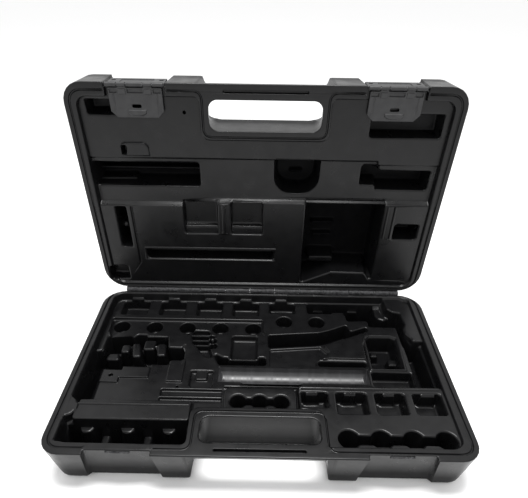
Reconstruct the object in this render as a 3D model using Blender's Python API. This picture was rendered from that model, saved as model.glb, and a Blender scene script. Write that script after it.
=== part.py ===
"""Blow-moulded carrying case for a tube flaring kit, standing open with its lid upright.

Both halves are drawn in one "hinge frame": X runs along the hinge, the hinge axis is
the X axis, and the case reaches towards -Y from it. The base hangs below the parting
plane z = 0 and the closed lid rises above it. The lid's frame is then turned back a
quarter turn, which stands the lid up behind the base.

A place on either half is given in millimetres as (across, out, deep): across from the
case's middle, out from the rim's hinge edge towards the handle, deep from the parting plane.
"""
import math

import bmesh
import bpy
from mathutils import Vector

MM = 0.001

# Driving dimensions, in millimetres.
CASE_WIDTH = 400.0
CASE_DEPTH = 243.0
HALF_HEIGHT = 50.0
CORNER_RADIUS = 26.0
PARTING_GAP = 0.15
FIT = 0.3
WALL = 2.8
TRAY_WALL = 2.0

# Each shell's outside, as (deep, inset, inset of the hinge side) from the rim to the flat face.
BASE_PROFILE = ((PARTING_GAP, 0.0, 0.0), (42.0, 5.5, 2.3), (47.0, 7.2, 3.8), (HALF_HEIGHT, 11.5, 8.0))
LID_PROFILE = ((PARTING_GAP, 0.0, 0.0), (42.0, 2.3, 2.3), (47.0, 3.8, 3.8), (HALF_HEIGHT, 8.0, 8.0))
RIM_THICKNESS = 6.0
RIM_SIDE = 10.0
RIM_BACK = 6.0
RIM_FRONT = 12.0

# The hand grip: an opening behind a bar, and a bay that clears the fingers below it.
GRIP_HALF_WIDTH = 57.0
GRIP_BACK = 198.5
GRIP_FRONT = 228.0
GRIP_RADIUS = 9.0
BAR_THICKNESS = 12.0
BAY_HALF_TOP = 60.0
BAY_HALF_BOTTOM = 67.0
BAY_BACK_DRAFT = 2.0
BAR_SLOT = (-42.0, 42.0, 234.3, 237.3, 4.0)

# The tray and the liner: a plate below the rim with a skirt that stands inside it.
PLATE_DEEP = 8.0
SKIRT_DEEP = 1.0
TRAY_FLOOR = 46.9

# Hinge: moulded knuckles, turn about, on two wire rods.
HINGE_GAP = 3.5
KNUCKLE_RADIUS = 3.2
KNUCKLE_COUNT = 11
KNUCKLE_PITCH = 32.0
KNUCKLE_CLEARANCE = 0.4
ROD_RADIUS = 1.1
BORE_CLEARANCE = 0.3
STOP_REACH = 9.0

# Latches: a bracket on the lid's front wall and a plate that swings on a wire pin.
LATCH_ACROSS = 128.0
LATCH_BAY_HALF = 30.0
LATCH_BAY_OUT = 237.9
BAY_UPRIGHT = 28.0
PAD_OUT = 235.1
PAD_FRONT = 238.6
PAD_HALF = 33.0
PIN_OUT = 240.5
PIN_DEEP = 2.8
PIN_RADIUS = 1.0
BARREL_RADIUS = 2.2
PIN_BORE = 1.2
BRACKET_HALF = 28.5
BRACKET_TOP = 27.0
BRACKET_KNUCKLES = ((-28.5, -17.4), (-8.1, 8.1), (17.4, 28.5))
STRAPS = ((-17.0, -8.5), (8.5, 17.0))
PLATE_HALF = 26.5
PLATE_REACH = 30.5
PLATE_THICKNESS = 2.0
CATCH_HALF = 11.0

# Tray pockets: name, (left, right), (back, front), floor, all in millimetres.
TRAY_BOXES = (
    ("die_pocket_1", (-177, -144), (8.6, 34), 24),
    ("die_pocket_2", (-129.5, -97.5), (8.6, 34), 24),
    ("die_pocket_3", (-82.5, -50.5), (8.6, 34), 24),
    ("die_pocket_4", (-37, -4), (8.6, 34), 24),
    ("die_pocket_5", (10, 42), (8.6, 28.5), 24),
    ("rung_pocket", (-83, -62), (59.5, 83.5), 20),
    ("short_pocket", (-34.5, -5), (72, 107.5), 19),
    ("grip_pocket", (124, 158), (70.5, 122.5), 34),
    ("neck_pocket", (121, 163), (127, 147), 24),
    ("rack_1", (40, 68), (165.5, 181.5), 18),
    ("rack_2", (76, 107), (165.5, 189.5), 18),
    ("rack_3", (115.5, 145.5), (165.5, 189.5), 18),
    ("rack_4", (154, 183), (165.5, 189.5), 18),
    ("gap_right", (63.5, 116.5), (111.5, 119), 30),
)
TRAY_OUTLINES = (
    ("head_pocket", 44, ((57, 8.6), (154, 8.6), (156, 25), (162.5, 31), (170.5, 33), (171.5, 54.5),
                         (168, 62.5), (168.5, 70.5), (175.5, 84.5), (183, 84.5), (184, 153.5),
                         (166.5, 153.5), (163.5, 51.5), (131, 51.5), (131, 40), (109, 41.5),
                         (106.5, 24.5), (88.5, 24.5), (88.5, 27.5), (57.5, 27.5))),
    ("yoke_pocket", 34, ((7.5, 69.5), (69, 63.5), (82, 59), (104, 48), (107, 61.5), (127, 53),
                         (127, 60), (82, 81.5), (68, 86), (8, 91.5))),
    ("screw_pocket", 40, ((-186, 103), (-180, 100), (-180, 75.5), (-153.5, 75.5), (-148.5, 68.5),
                          (-137.5, 68.5), (-137.5, 71.5), (-111, 71.5), (-107.5, 93.5),
                          (-90.5, 93.5), (-87.5, 113), (-102.5, 113), (-102.5, 120.5),
                          (-122, 120.5), (-122, 125.5), (-152, 125.5), (-152, 130.5), (-171, 130.5), (-171, 174.5), (-186, 174.5))),
    ("front_pocket", 43, ((-186, 203), (-73, 203), (-73, 227), (-176, 227), (-182, 224.5),
                          (-186, 217))),
    ("gap_left", 30, ((-55, 100), (-43, 108), (-37, 108), (-36.5, 112.5), (-3, 112.5), (-3, 107),
                      (5, 107), (5.5, 119), (-47.5, 119))),
)
CONE_SEATS_ROW = {"count": 5, "first": -171.0, "pitch": 40.2, "out": 54.0, "radius": 9.8, "floor": 30.0}
CONE_SEATS_PAIR = {"count": 2, "first": 27.5, "pitch": 39.9, "out": 45.0, "radius": 10.0, "floor": 26.0}
SMALL_LOBES = {"count": 3, "first": -22.5, "pitch": 21.5, "out": 176.5, "radius": 8.0, "floor": 30.0}
LARGE_LOBES = {"count": 4, "first": 82.5, "pitch": 30.3, "out": 218.6, "radius": 9.8, "floor": 34.0}
LOBE_REACH = 0.45
TROUGH = {"left": -46.0, "right": 116.5, "out": 134.0, "radius": 11.0, "deep": 11.0}

# Liner pockets in the lid, in the same form.
LINER_BOXES = (
    ("upper_pocket_left", (-181.4, -120), (211.5, 225.6), 26),
    ("upper_pocket_right", (108, 181.6), (192.6, 215.8), 26),
    ("long_pocket", (-186, -71.5), (135, 161), 36),
    ("stepped_pocket", (106.5, 182), (136, 158), 36),
    ("notch_left", (-92.7, -53.4), (80, 117.7), 14),
    ("notch_right", (-38.5, -1), (80, 118.5), 14),
    ("groove_pocket", (-142, 13), (43, 55.5), 22),
    ("slot_pocket", (-171.3, -159.3), (58, 111.6), 32),
    ("head_space", (50, 137), (30, 122), 45),
    ("small_pocket", (154.3, 181.6), (74, 94), 32),
)
ROUND_POCKET = {"left": 11.0, "right": 60.5, "top": 167.7, "bottom": 128.4, "floor": 40.0}

ARC_STEPS = 5
CIRCLE_STEPS = 20
SMALL_CIRCLE_STEPS = 16

BASE = -1.0
LID = 1.0


def clear_scene():
    for item in list(bpy.data.objects):
        bpy.data.objects.remove(item, do_unlink=True)


def make_material(name, colour, roughness, metallic):
    material = bpy.data.materials.new(name)
    material.use_nodes = True
    shader = material.node_tree.nodes["Principled BSDF"]
    shader.inputs["Base Color"].default_value = (*colour, 1.0)
    shader.inputs["Roughness"].default_value = roughness
    shader.inputs["Metallic"].default_value = metallic
    return material


# Outlines in the case's plane, as lists of (across, out).

def rounded(corners, steps=ARC_STEPS):
    """Replace each corner (across, out, radius) by an arc that touches both its sides."""
    outline = []
    count = len(corners)
    for index, (across, out, radius) in enumerate(corners):
        corner = Vector((across, out))
        if radius <= 0.0:
            outline.append((across, out))
            continue
        before = (Vector(corners[index - 1][:2]) - corner).normalized()
        after = (Vector(corners[(index + 1) % count][:2]) - corner).normalized()
        half_angle = before.angle(after) / 2.0
        centre = corner + (before + after).normalized() * radius / math.sin(half_angle)
        start = corner + before * radius / math.tan(half_angle) - centre
        end = corner + after * radius / math.tan(half_angle) - centre
        first = math.atan2(start.y, start.x)
        turn = math.remainder(math.atan2(end.y, end.x) - first, 2.0 * math.pi)
        for step in range(steps + 1):
            angle = first + turn * step / steps
            outline.append((centre.x + radius * math.cos(angle), centre.y + radius * math.sin(angle)))
    return outline


def signed_area(outline):
    following = outline[1:] + outline[:1]
    return sum(a[0] * b[1] - b[0] * a[1] for a, b in zip(outline, following)) / 2.0


def grown(outline, distance):
    """Move every side of an outline outwards by a distance, with mitred corners."""
    side = 1.0 if signed_area(outline) > 0.0 else -1.0
    result = []
    count = len(outline)
    for index in range(count):
        here = Vector(outline[index])
        before = (here - Vector(outline[index - 1])).normalized()
        after = (Vector(outline[(index + 1) % count]) - here).normalized()
        normal_before = Vector((before.y, -before.x)) * side
        normal_after = Vector((after.y, -after.x)) * side
        mitre = (normal_before + normal_after).normalized()
        result.append(tuple(here + mitre * distance / mitre.dot(normal_after)))
    return result


def rectangle(left, right, back, front, radius=0.0, steps=ARC_STEPS):
    corners = ((left, back), (right, back), (right, front), (left, front))
    return rounded([(across, out, radius) for across, out in corners], steps)


def circle(across, out, radius, steps=CIRCLE_STEPS):
    turns = [2.0 * math.pi * step / steps for step in range(steps)]
    return [(across + radius * math.cos(turn), out + radius * math.sin(turn)) for turn in turns]


def row_centres(row):
    return [row["first"] + row["pitch"] * index for index in range(row["count"])]


def lobed_outline(row):
    """A row of round lobes joined by a straight channel, as one outline."""
    half = []
    centres = row_centres(row)
    for centre in centres:
        start = math.pi if centre == centres[0] else math.pi - LOBE_REACH
        end = 0.0 if centre == centres[-1] else LOBE_REACH
        for step in range(ARC_STEPS + 1):
            angle = start + (end - start) * step / ARC_STEPS
            half.append((centre + row["radius"] * math.cos(angle), row["radius"] * math.sin(angle)))
    back = [(across, row["out"] - rise) for across, rise in half]
    front = [(across, row["out"] + rise) for across, rise in reversed(half[1:-1])]
    return back + front


def case_outline(inset, back):
    half = CASE_WIDTH / 2.0 - inset
    return rectangle(-half, half, back, CASE_DEPTH - inset, CORNER_RADIUS - inset)


def horseshoe(side, back, front, bay_half, bay_back, corner=20.0, bay_corner=10.0):
    """The case's outline inset on every side, with the hand grip's bay cut out of it."""
    half = CASE_WIDTH / 2.0 - side
    front_out = CASE_DEPTH - front
    return rounded((
        (-half, back, corner), (half, back, corner), (half, front_out, corner),
        (bay_half, front_out, bay_corner), (bay_half, bay_back, bay_corner),
        (-bay_half, bay_back, bay_corner), (-bay_half, front_out, bay_corner),
        (-half, front_out, corner),
    ))


def tray_edge(shrink):
    """The opening that the rim leaves, made smaller all round by a clearance or a wall."""
    return horseshoe(RIM_SIDE + shrink, RIM_BACK + shrink, RIM_FRONT + shrink,
                     GRIP_HALF_WIDTH + RIM_SIDE + shrink, GRIP_BACK - RIM_SIDE - shrink)


# Solids. A solid belongs to a half, which is the sign of "deep" along Z.

def new_object(name, mesh, parent=None, location=(0.0, 0.0, 0.0)):
    item = bpy.data.objects.new(name, mesh)
    bpy.context.scene.collection.objects.link(item)
    item.parent = parent
    item.location = location
    return item


def mesh_from_rings(name, rings):
    """A closed mesh through rings of points in millimetres, with its two ends filled."""
    shape = bmesh.new()
    loops = [[shape.verts.new([value * MM for value in point]) for point in ring] for ring in rings]
    shape.faces.new(loops[0])
    shape.faces.new(loops[-1])
    for lower, upper in zip(loops, loops[1:]):
        for index in range(len(lower)):
            follow = (index + 1) % len(lower)
            shape.faces.new((lower[index], lower[follow], upper[follow], upper[index]))
    bmesh.ops.recalc_face_normals(shape, faces=shape.faces)
    mesh = bpy.data.meshes.new(name)
    shape.to_mesh(mesh)
    shape.free()
    return mesh


def stacked(name, half, layers):
    """A solid through outlines at increasing depths, given as (deep, outline)."""
    rings = [[(across, -(HINGE_GAP + out), half * deep) for across, out in outline]
             for deep, outline in layers]
    return mesh_from_rings(name, rings)


def prism(name, half, outline, top, floor):
    return stacked(name, half, ((top, outline), (floor, outline)))


def bar_along_hinge(name, profile, left, right):
    """A solid of one (y, z) profile between two places along the hinge."""
    rings = [[(across, y, z) for y, z in profile] for across in (left, right)]
    return mesh_from_rings(name, rings)


def combine(target, mesh, operation):
    """Cut a mesh out of an object, or join it on, with a hidden helper object."""
    helper = new_object(mesh.name, mesh, target.parent)
    helper.hide_render = True
    helper.display_type = "WIRE"
    modifier = target.modifiers.new(mesh.name, "BOOLEAN")
    modifier.operation = operation
    modifier.solver = "EXACT"
    modifier.object = helper
    return helper


def cut(target, mesh):
    return combine(target, mesh, "DIFFERENCE")


def join(target, mesh):
    return combine(target, mesh, "UNION")


def finish(item, material):
    item.data.materials.append(material)


# The outer shells.

def shell(name, half, parent, profile):
    """One half's outer wall, with its solid rim, hand grip, latch bays and floor."""
    layers = [(deep, case_outline(inset, back)) for deep, inset, back in profile]
    _, lean, back_lean = profile[1]
    item = new_object(name, stacked(name, half, layers), parent)
    cavity = (
        (RIM_THICKNESS, horseshoe(WALL + 0.4, WALL + 0.4, WALL + 0.4,
                                  BAY_HALF_TOP + WALL, GRIP_BACK - WALL)),
        (HALF_HEIGHT - WALL, horseshoe(WALL + lean + 1.0, WALL + back_lean + 1.0, WALL + lean + 1.0,
                                       BAY_HALF_BOTTOM + WALL, GRIP_BACK - WALL - BAY_BACK_DRAFT)),
    )
    cut(item, stacked(name + "_cavity", half, cavity))
    cut(item, prism(name + "_mouth", half, tray_edge(0.0), -1.0, RIM_THICKNESS + 0.5))
    for side in (-1.0, 1.0):
        left, right = side * LATCH_ACROSS - PAD_HALF, side * LATCH_ACROSS + PAD_HALF
        pad = ((3.0, rectangle(left, right, PAD_OUT, PAD_FRONT)),
               (BAY_UPRIGHT, rectangle(left, right, PAD_OUT, PAD_FRONT)),
               (HALF_HEIGHT - WALL + 1.0, rectangle(left, right, PAD_OUT - lean, PAD_FRONT - lean)))
        join(item, stacked(f"{name}_pad_{side_name(side)}", half, pad))
    grip = rectangle(-GRIP_HALF_WIDTH, GRIP_HALF_WIDTH, GRIP_BACK, GRIP_FRONT, GRIP_RADIUS)
    cut(item, prism(name + "_grip", half, grip, -1.0, HALF_HEIGHT + 1.0))
    beyond = CASE_DEPTH + 5.0
    bay = ((BAR_THICKNESS, bay_outline(BAY_HALF_TOP, GRIP_BACK, beyond)),
           (HALF_HEIGHT + 1.0, bay_outline(BAY_HALF_BOTTOM, GRIP_BACK - BAY_BACK_DRAFT, beyond)))
    cut(item, stacked(name + "_bay", half, bay))
    left, right, back, front, deep = BAR_SLOT
    cut(item, prism(name + "_bar_slot", half, rectangle(left, right, back, front), -1.0, deep))
    for side in (-1.0, 1.0):
        left, right = side * LATCH_ACROSS - LATCH_BAY_HALF, side * LATCH_ACROSS + LATCH_BAY_HALF
        latch_bay = ((-1.0, rectangle(left, right, LATCH_BAY_OUT, beyond)),
                     (BAY_UPRIGHT, rectangle(left, right, LATCH_BAY_OUT, beyond)),
                     (HALF_HEIGHT + 1.0, rectangle(left, right, LATCH_BAY_OUT - lean, beyond)))
        cut(item, stacked(f"{name}_latch_bay_{side_name(side)}", half, latch_bay))
    return item


def bay_outline(half_width, back, front):
    return rounded(((-half_width, back, GRIP_RADIUS), (half_width, back, GRIP_RADIUS),
                    (half_width, front, 0.0), (-half_width, front, 0.0)))


def side_name(side):
    return "left" if side < 0.0 else "right"


# The hinge. A knuckle's profile is a list of (y, z) about the axis.

def arc_profile(first, last, steps=10):
    angles = [math.radians(first + (last - first) * step / steps) for step in range(steps + 1)]
    return [(KNUCKLE_RADIUS * math.cos(angle), KNUCKLE_RADIUS * math.sin(angle)) for angle in angles]


def base_knuckle_profile():
    """A barrel on the base's back wall, with a ledge behind it on which the open lid rests."""
    inside = -(HINGE_GAP + 2.0)
    ledge_top = KNUCKLE_RADIUS + 0.45
    return [(inside, -0.9), (-KNUCKLE_RADIUS - 0.2, -0.9), *arc_profile(180.0, 90.0),
            (STOP_REACH, ledge_top), (STOP_REACH, 1.0), (4.0, -7.0), (inside, -9.0)]


def lid_knuckle_profile():
    """A barrel on a web that runs up inside the lid's hinge side."""
    inside = -(HINGE_GAP + 2.0)
    return [(inside, 0.9), (-KNUCKLE_RADIUS - 0.2, 0.9), *arc_profile(180.0, 450.0, 24),
            (-HINGE_GAP - 0.2, 6.0), (inside, 7.0)]


def knuckle_span(index):
    left = (index - KNUCKLE_COUNT / 2.0) * KNUCKLE_PITCH
    return left + KNUCKLE_CLEARANCE / 2.0, left + KNUCKLE_PITCH - KNUCKLE_CLEARANCE / 2.0


def circle_profile(radius, steps=SMALL_CIRCLE_STEPS):
    return circle(0.0, 0.0, radius, steps)


def add_knuckles(item, profile, first):
    for index in range(first, KNUCKLE_COUNT, 2):
        left, right = knuckle_span(index)
        join(item, bar_along_hinge(f"{item.name}_knuckle_{index}", profile, left, right))
    reach = KNUCKLE_COUNT * KNUCKLE_PITCH / 2.0 + 2.0
    bore = circle_profile(ROD_RADIUS + BORE_CLEARANCE)
    cut(item, bar_along_hinge(f"{item.name}_bore", bore, -reach, reach))


def hinge_rod(side, parent, material):
    reach = KNUCKLE_COUNT * KNUCKLE_PITCH / 2.0
    ends = sorted((side * 0.5, side * reach))
    name = f"hinge_rod_{side_name(side)}"
    item = new_object(name, bar_along_hinge(name, circle_profile(ROD_RADIUS), *ends), parent)
    finish(item, material)


# The tray and the liner: a skirted plate, with a thin-walled well for each pocket.

def wells(item, half, pockets):
    """Give an object a jacket and a hollow for each (name, outline, floor)."""
    for name, outline, floor in pockets:
        jacket_floor = min(floor + TRAY_WALL, TRAY_FLOOR)
        join(item, prism(name + "_jacket", half, grown(outline, TRAY_WALL),
                         PLATE_DEEP + TRAY_WALL / 2.0, jacket_floor))
    for name, outline, floor in pockets:
        cut(item, prism(name, half, outline, -1.0, floor))


def skirted_plate(name, half, parent):
    plate = prism(name, half, tray_edge(FIT), SKIRT_DEEP, PLATE_DEEP + TRAY_WALL)
    item = new_object(name, plate, parent)
    cut(item, prism(name + "_face", half, tray_edge(FIT + TRAY_WALL), -1.0, PLATE_DEEP))
    return item


def box_pockets(boxes, radius=2.5):
    return [(name, rectangle(*sides, *depths, radius, 2), floor)
            for name, sides, depths, floor in boxes]


def round_seats(name, row):
    return [(f"{name}_{index + 1}", circle(centre, row["out"], row["radius"]), row["floor"])
            for index, centre in enumerate(row_centres(row))]


def trough_profile(radius):
    """The trough's round floor and its open mouth, as (y, z) in the hinge frame."""
    middle = -(HINGE_GAP + TROUGH["out"])
    level = -TROUGH["deep"]
    steps = [math.pi * (1.0 + step / CIRCLE_STEPS) for step in range(CIRCLE_STEPS + 1)]
    return [(middle + radius * math.cos(step), level + radius * math.sin(step)) for step in steps]


def add_trough(item):
    """The long half-round seat for the tool's handle."""
    left, right, radius = TROUGH["left"], TROUGH["right"], TROUGH["radius"]
    lift = PLATE_DEEP + TRAY_WALL / 2.0 - TROUGH["deep"]
    jacket = trough_profile(radius + TRAY_WALL)
    jacket = [(jacket[0][0], jacket[0][1] - lift), *jacket, (jacket[-1][0], jacket[-1][1] - lift)]
    join(item, bar_along_hinge("trough_jacket", jacket, left - TRAY_WALL, right + TRAY_WALL))
    hollow = trough_profile(radius)
    hollow = [(hollow[0][0], 1.0), *hollow, (hollow[-1][0], 1.0)]
    cut(item, bar_along_hinge("trough", hollow, left, right))


def base_tray(parent, material):
    item = skirted_plate("base_tray", BASE, parent)
    pockets = box_pockets(TRAY_BOXES)
    pockets += [(name, list(outline), floor) for name, floor, outline in TRAY_OUTLINES]
    pockets += round_seats("cone_seat", CONE_SEATS_ROW)
    pockets += round_seats("cone_seat_pair", CONE_SEATS_PAIR)
    pockets += [("small_lobes", lobed_outline(SMALL_LOBES), SMALL_LOBES["floor"]),
                ("large_lobes", lobed_outline(LARGE_LOBES), LARGE_LOBES["floor"])]
    wells(item, BASE, pockets)
    add_trough(item)
    finish(item, material)


def lid_liner(parent, material):
    item = skirted_plate("lid_liner", LID, parent)
    pockets = box_pockets(LINER_BOXES)
    left, right = ROUND_POCKET["left"], ROUND_POCKET["right"]
    radius = (right - left) / 2.0
    outline = rounded(((left, ROUND_POCKET["top"], 2.5), (right, ROUND_POCKET["top"], 2.5),
                       (right, ROUND_POCKET["bottom"], radius * 0.98),
                       (left, ROUND_POCKET["bottom"], radius * 0.98)))
    pockets.append(("round_pocket", outline, ROUND_POCKET["floor"]))
    wells(item, LID, pockets)
    for side in (-1.0, 1.0):
        cut(item, latch_notch(f"liner_notch_{side_name(side)}", side))
    finish(item, material)


# The latches, drawn on the closed lid: their pins lie just above the parting plane.

def latch_notch(name, side):
    """The room in the lid's rim where an open latch plate hangs."""
    middle = side * LATCH_ACROSS
    notch = rectangle(middle - LATCH_BAY_HALF, middle + LATCH_BAY_HALF, PIN_OUT - PLATE_REACH - 6.0,
                      CASE_DEPTH + 5.0)
    return prism(name, LID, notch, -1.0, PIN_DEEP + BARREL_RADIUS + FIT)


def pin_point(side):
    return (side * LATCH_ACROSS * MM, -(HINGE_GAP + PIN_OUT) * MM, PIN_DEEP * MM)


def box(name, low, high):
    """A box between two corners in millimetres."""
    outline = ((low[0], low[1]), (high[0], low[1]), (high[0], high[1]), (low[0], high[1]))
    return mesh_from_rings(name, [[(x, y, z) for x, y in outline] for z in (low[2], high[2])])


def latch_bracket(side, parent, material):
    """A plate on the lid's front wall, whose three knuckles hold the pin."""
    name = f"latch_bracket_{side_name(side)}"
    face = -(LATCH_BAY_OUT + FIT - PIN_OUT)
    rise = BARREL_RADIUS + 0.6
    plate = box(name, (-BRACKET_HALF, face - 2.7, rise), (BRACKET_HALF, face, BRACKET_TOP - PIN_DEEP))
    item = new_object(name, plate, parent, pin_point(side))
    for index, (left, right) in enumerate(BRACKET_KNUCKLES):
        profile = circle_profile(BARREL_RADIUS)
        knuckle = bar_along_hinge(f"{name}_knuckle_{index}", profile, left, right)
        join(item, knuckle).location = pin_point(side)
        web = box(f"{name}_web_{index}", (left, face - 2.4, 0.0), (right, face - 0.05, rise + 1.0))
        join(item, web).location = pin_point(side)
    bore = bar_along_hinge(f"{name}_bore", circle_profile(PIN_BORE), -BRACKET_HALF - 1.0,
                           BRACKET_HALF + 1.0)
    cut(item, bore).location = pin_point(side)
    finish(item, material)


def latch_plate(side, parent, material):
    """The swinging plate, drawn hanging inside the lid's rim, towards +Y from its pin."""
    name = f"latch_plate_{side_name(side)}"
    half = PLATE_THICKNESS / 2.0
    top = BARREL_RADIUS + 0.6
    chamfer = 6.0
    outline = ((-PLATE_HALF, top), (PLATE_HALF, top), (PLATE_HALF, PLATE_REACH - chamfer),
               (PLATE_HALF - chamfer, PLATE_REACH), (-PLATE_HALF + chamfer, PLATE_REACH),
               (-PLATE_HALF, PLATE_REACH - chamfer))
    mesh = mesh_from_rings(name, [[(x, y, z) for x, y in outline] for z in (-half, half)])
    item = new_object(name, mesh, parent, pin_point(side))
    parts = []
    for index, (left, right) in enumerate(STRAPS):
        barrel = bar_along_hinge(f"{name}_strap_{index}", circle_profile(BARREL_RADIUS), left, right)
        parts.append(barrel)
        parts.append(box(f"{name}_web_{index}", (left, 0.0, -half * 0.9), (right, top + 1.0, half * 0.9)))
    parts.append(box(f"{name}_hook", (-CATCH_HALF, 8.4, half - 0.5), (CATCH_HALF, 11.0, half + 0.9)))
    boss = rounded(((-13.0, 23.5, 0.0), (13.0, 23.5, 0.0), (9.0, 29.6, 5.0), (-9.0, 29.6, 5.0)), 3)
    parts.append(mesh_from_rings(f"{name}_boss", [[(x, y, z) for x, y in boss] for z in (-2.4, 0.0)]))
    for mesh in parts:
        join(item, mesh).location = pin_point(side)
    slot = box(f"{name}_slot", (-5.0, 18.5, -5.0), (5.0, 22.0, 5.0))
    cut(item, slot).location = pin_point(side)
    bore = bar_along_hinge(f"{name}_bore", circle_profile(PIN_BORE), -PLATE_HALF, PLATE_HALF)
    cut(item, bore).location = pin_point(side)
    finish(item, material)


def latch_pin(side, parent, material):
    name = f"latch_pin_{side_name(side)}"
    mesh = bar_along_hinge(name, circle_profile(PIN_RADIUS), -BRACKET_HALF, BRACKET_HALF)
    item = new_object(name, mesh, parent, pin_point(side))
    finish(item, material)


def catch(name, side):
    """The ridge on the base's front wall that a closed latch plate snaps under."""
    middle = side * LATCH_ACROSS
    ridge = rectangle(middle - CATCH_HALF, middle + CATCH_HALF, LATCH_BAY_OUT - 1.0, 239.2)
    return prism(name, BASE, ridge, 2.0, 5.0)


def main():
    clear_scene()
    outside = make_material("case_plastic", (0.035, 0.035, 0.038), 0.55, 0.0)
    inside = make_material("tray_plastic", (0.028, 0.028, 0.030), 0.42, 0.0)
    fittings = make_material("latch_plastic", (0.040, 0.040, 0.043), 0.5, 0.0)
    wire = make_material("steel_wire", (0.62, 0.62, 0.64), 0.35, 1.0)

    axis = (0.0, (CASE_DEPTH / 2.0 + HINGE_GAP) * MM, HALF_HEIGHT * MM)
    base_frame = new_object("base_frame", None, location=axis)
    lid_frame = new_object("lid_frame", None, location=axis)
    lid_frame.rotation_euler.x = -math.pi / 2.0

    base = shell("base_shell", BASE, base_frame, BASE_PROFILE)
    add_knuckles(base, base_knuckle_profile(), 0)
    for side in (-1.0, 1.0):
        join(base, catch(f"catch_{side_name(side)}", side))
    finish(base, outside)

    lid = shell("lid_shell", LID, lid_frame, LID_PROFILE)
    for side in (-1.0, 1.0):
        cut(lid, latch_notch(f"lid_notch_{side_name(side)}", side))
    add_knuckles(lid, lid_knuckle_profile(), 1)
    finish(lid, outside)

    base_tray(base_frame, inside)
    lid_liner(lid_frame, inside)
    for side in (-1.0, 1.0):
        hinge_rod(side, base_frame, wire)
        latch_bracket(side, lid_frame, fittings)
        latch_pin(side, lid_frame, wire)
        latch_plate(side, lid_frame, fittings)


main()
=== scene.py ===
"""The look of an empty flaring tool case: two blow-moulded halves, their hinge and their latches.

Each half is one closed mesh. Its inside and its outside are height fields over the same plan,
whose depth at a point comes from a list of features: cuts, raised islands, grooves and troughs.
A place is given in millimetres as (across, out, deep), as in the CAD: across from the middle,
out from the rim's hinge edge towards the handle, deep from the parting plane.
"""
import math

import bmesh
import bpy
import numpy as np
from mathutils import Euler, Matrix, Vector
from mathutils.geometry import delaunay_2d_cdt


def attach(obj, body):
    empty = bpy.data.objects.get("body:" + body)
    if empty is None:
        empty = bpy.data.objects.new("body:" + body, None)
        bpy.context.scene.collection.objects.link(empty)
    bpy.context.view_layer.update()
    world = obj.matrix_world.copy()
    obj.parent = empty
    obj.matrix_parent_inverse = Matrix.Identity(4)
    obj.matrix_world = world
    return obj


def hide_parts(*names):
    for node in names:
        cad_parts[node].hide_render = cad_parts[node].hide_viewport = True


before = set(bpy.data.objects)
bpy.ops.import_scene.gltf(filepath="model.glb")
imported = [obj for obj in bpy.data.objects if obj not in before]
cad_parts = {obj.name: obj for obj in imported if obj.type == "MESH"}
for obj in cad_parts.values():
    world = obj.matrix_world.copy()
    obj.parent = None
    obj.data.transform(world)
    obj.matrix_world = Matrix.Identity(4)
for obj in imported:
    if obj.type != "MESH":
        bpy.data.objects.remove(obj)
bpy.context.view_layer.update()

MM = 0.001
CASE_WIDTH, CASE_DEPTH, HALF_HEIGHT, HINGE_GAP = 400.0, 243.0, 50.0, 3.5
RIM = 0.15
RIM_ROUND = 1.3
LATCH_ACROSS, LATCH_BAY_HALF, LATCH_BAY_OUT = 128.0, 30.0, 237.9
GRIP = (-57.0, 57.0, 198.5, 228.0)
GRIP_RADIUS = 9.0
BAR_THICKNESS = 12.0
TRAY_FLOOR = 11.0             # The level that most of the base's pockets start from.
DRAFT = 9.0                   # A wall's fall for each millimetre it leans in.
ROUNDED_SHARE = 0.46          # The most of a wall's fall that its edge, or its foot, may round.
UNEVEN = 14.0                 # How far the ground round a feature may be from its start.
LEAST_SPACING = 0.02
MERGE, SEAM_MERGE = 0.012 * MM, 0.004 * MM


# Outlines in plan.

def box(left, right, back, front):
    """A rectangle, as left and right across, and back and front out from the hinge."""
    return [(left, back), (right, back), (right, front), (left, front)]


def disc(across, out, radius, steps=28):
    turns = [2.0 * math.pi * step / steps for step in range(steps)]
    return [(across + radius * math.cos(turn), out + radius * math.sin(turn)) for turn in turns]


def area(points):
    """The area inside an outline, negative where it turns clockwise."""
    return sum(a[0] * b[1] - b[0] * a[1] for a, b in zip(points, points[1:] + points[:1])) / 2.0


def loop(points, radii, inset):
    """An outline moved inwards by an inset, with each corner's arc kept concentric."""
    if area(points) < 0.0:
        points, radii = points[::-1], radii[::-1]
    count = len(points)
    corners, turns = [], []
    for index in range(count):
        here = Vector(points[index])
        before = (here - Vector(points[index - 1])).normalized()
        after = (Vector(points[(index + 1) % count]) - here).normalized()
        left_before, left_after = Vector((-before.y, before.x)), Vector((-after.y, after.x))
        bisector = left_before + left_after
        corners.append(here + bisector * inset * 2.0 / bisector.length_squared)
        turns.append(math.atan2(before.cross(after), before.dot(after)))
    result = []
    for index in range(count):
        here, turn = corners[index], turns[index]
        half = abs(turn) / 2.0
        back, ahead = corners[index - 1] - here, corners[(index + 1) % count] - here
        radius = radii[index] - inset if turn > 0.0 else radii[index] + inset
        room = 0.48 * min(back.length, ahead.length)
        radius = min(radius, room / max(math.tan(half), 1e-3))
        if radius < 0.05 or half < 0.02:
            result.append(here)
            continue
        back.normalize()
        ahead.normalize()
        reach = radius * math.tan(half)
        centre = here + (back + ahead).normalized() * radius / math.cos(half)
        start = here + back * reach - centre
        steps = max(2, math.ceil(abs(turn) / math.radians(16.0)))
        for step in range(steps + 1):
            angle = turn * step / steps
            cosine, sine = math.cos(angle), math.sin(angle)
            result.append(centre + Vector((start.x * cosine - start.y * sine,
                                           start.x * sine + start.y * cosine)))
    return result


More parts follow.
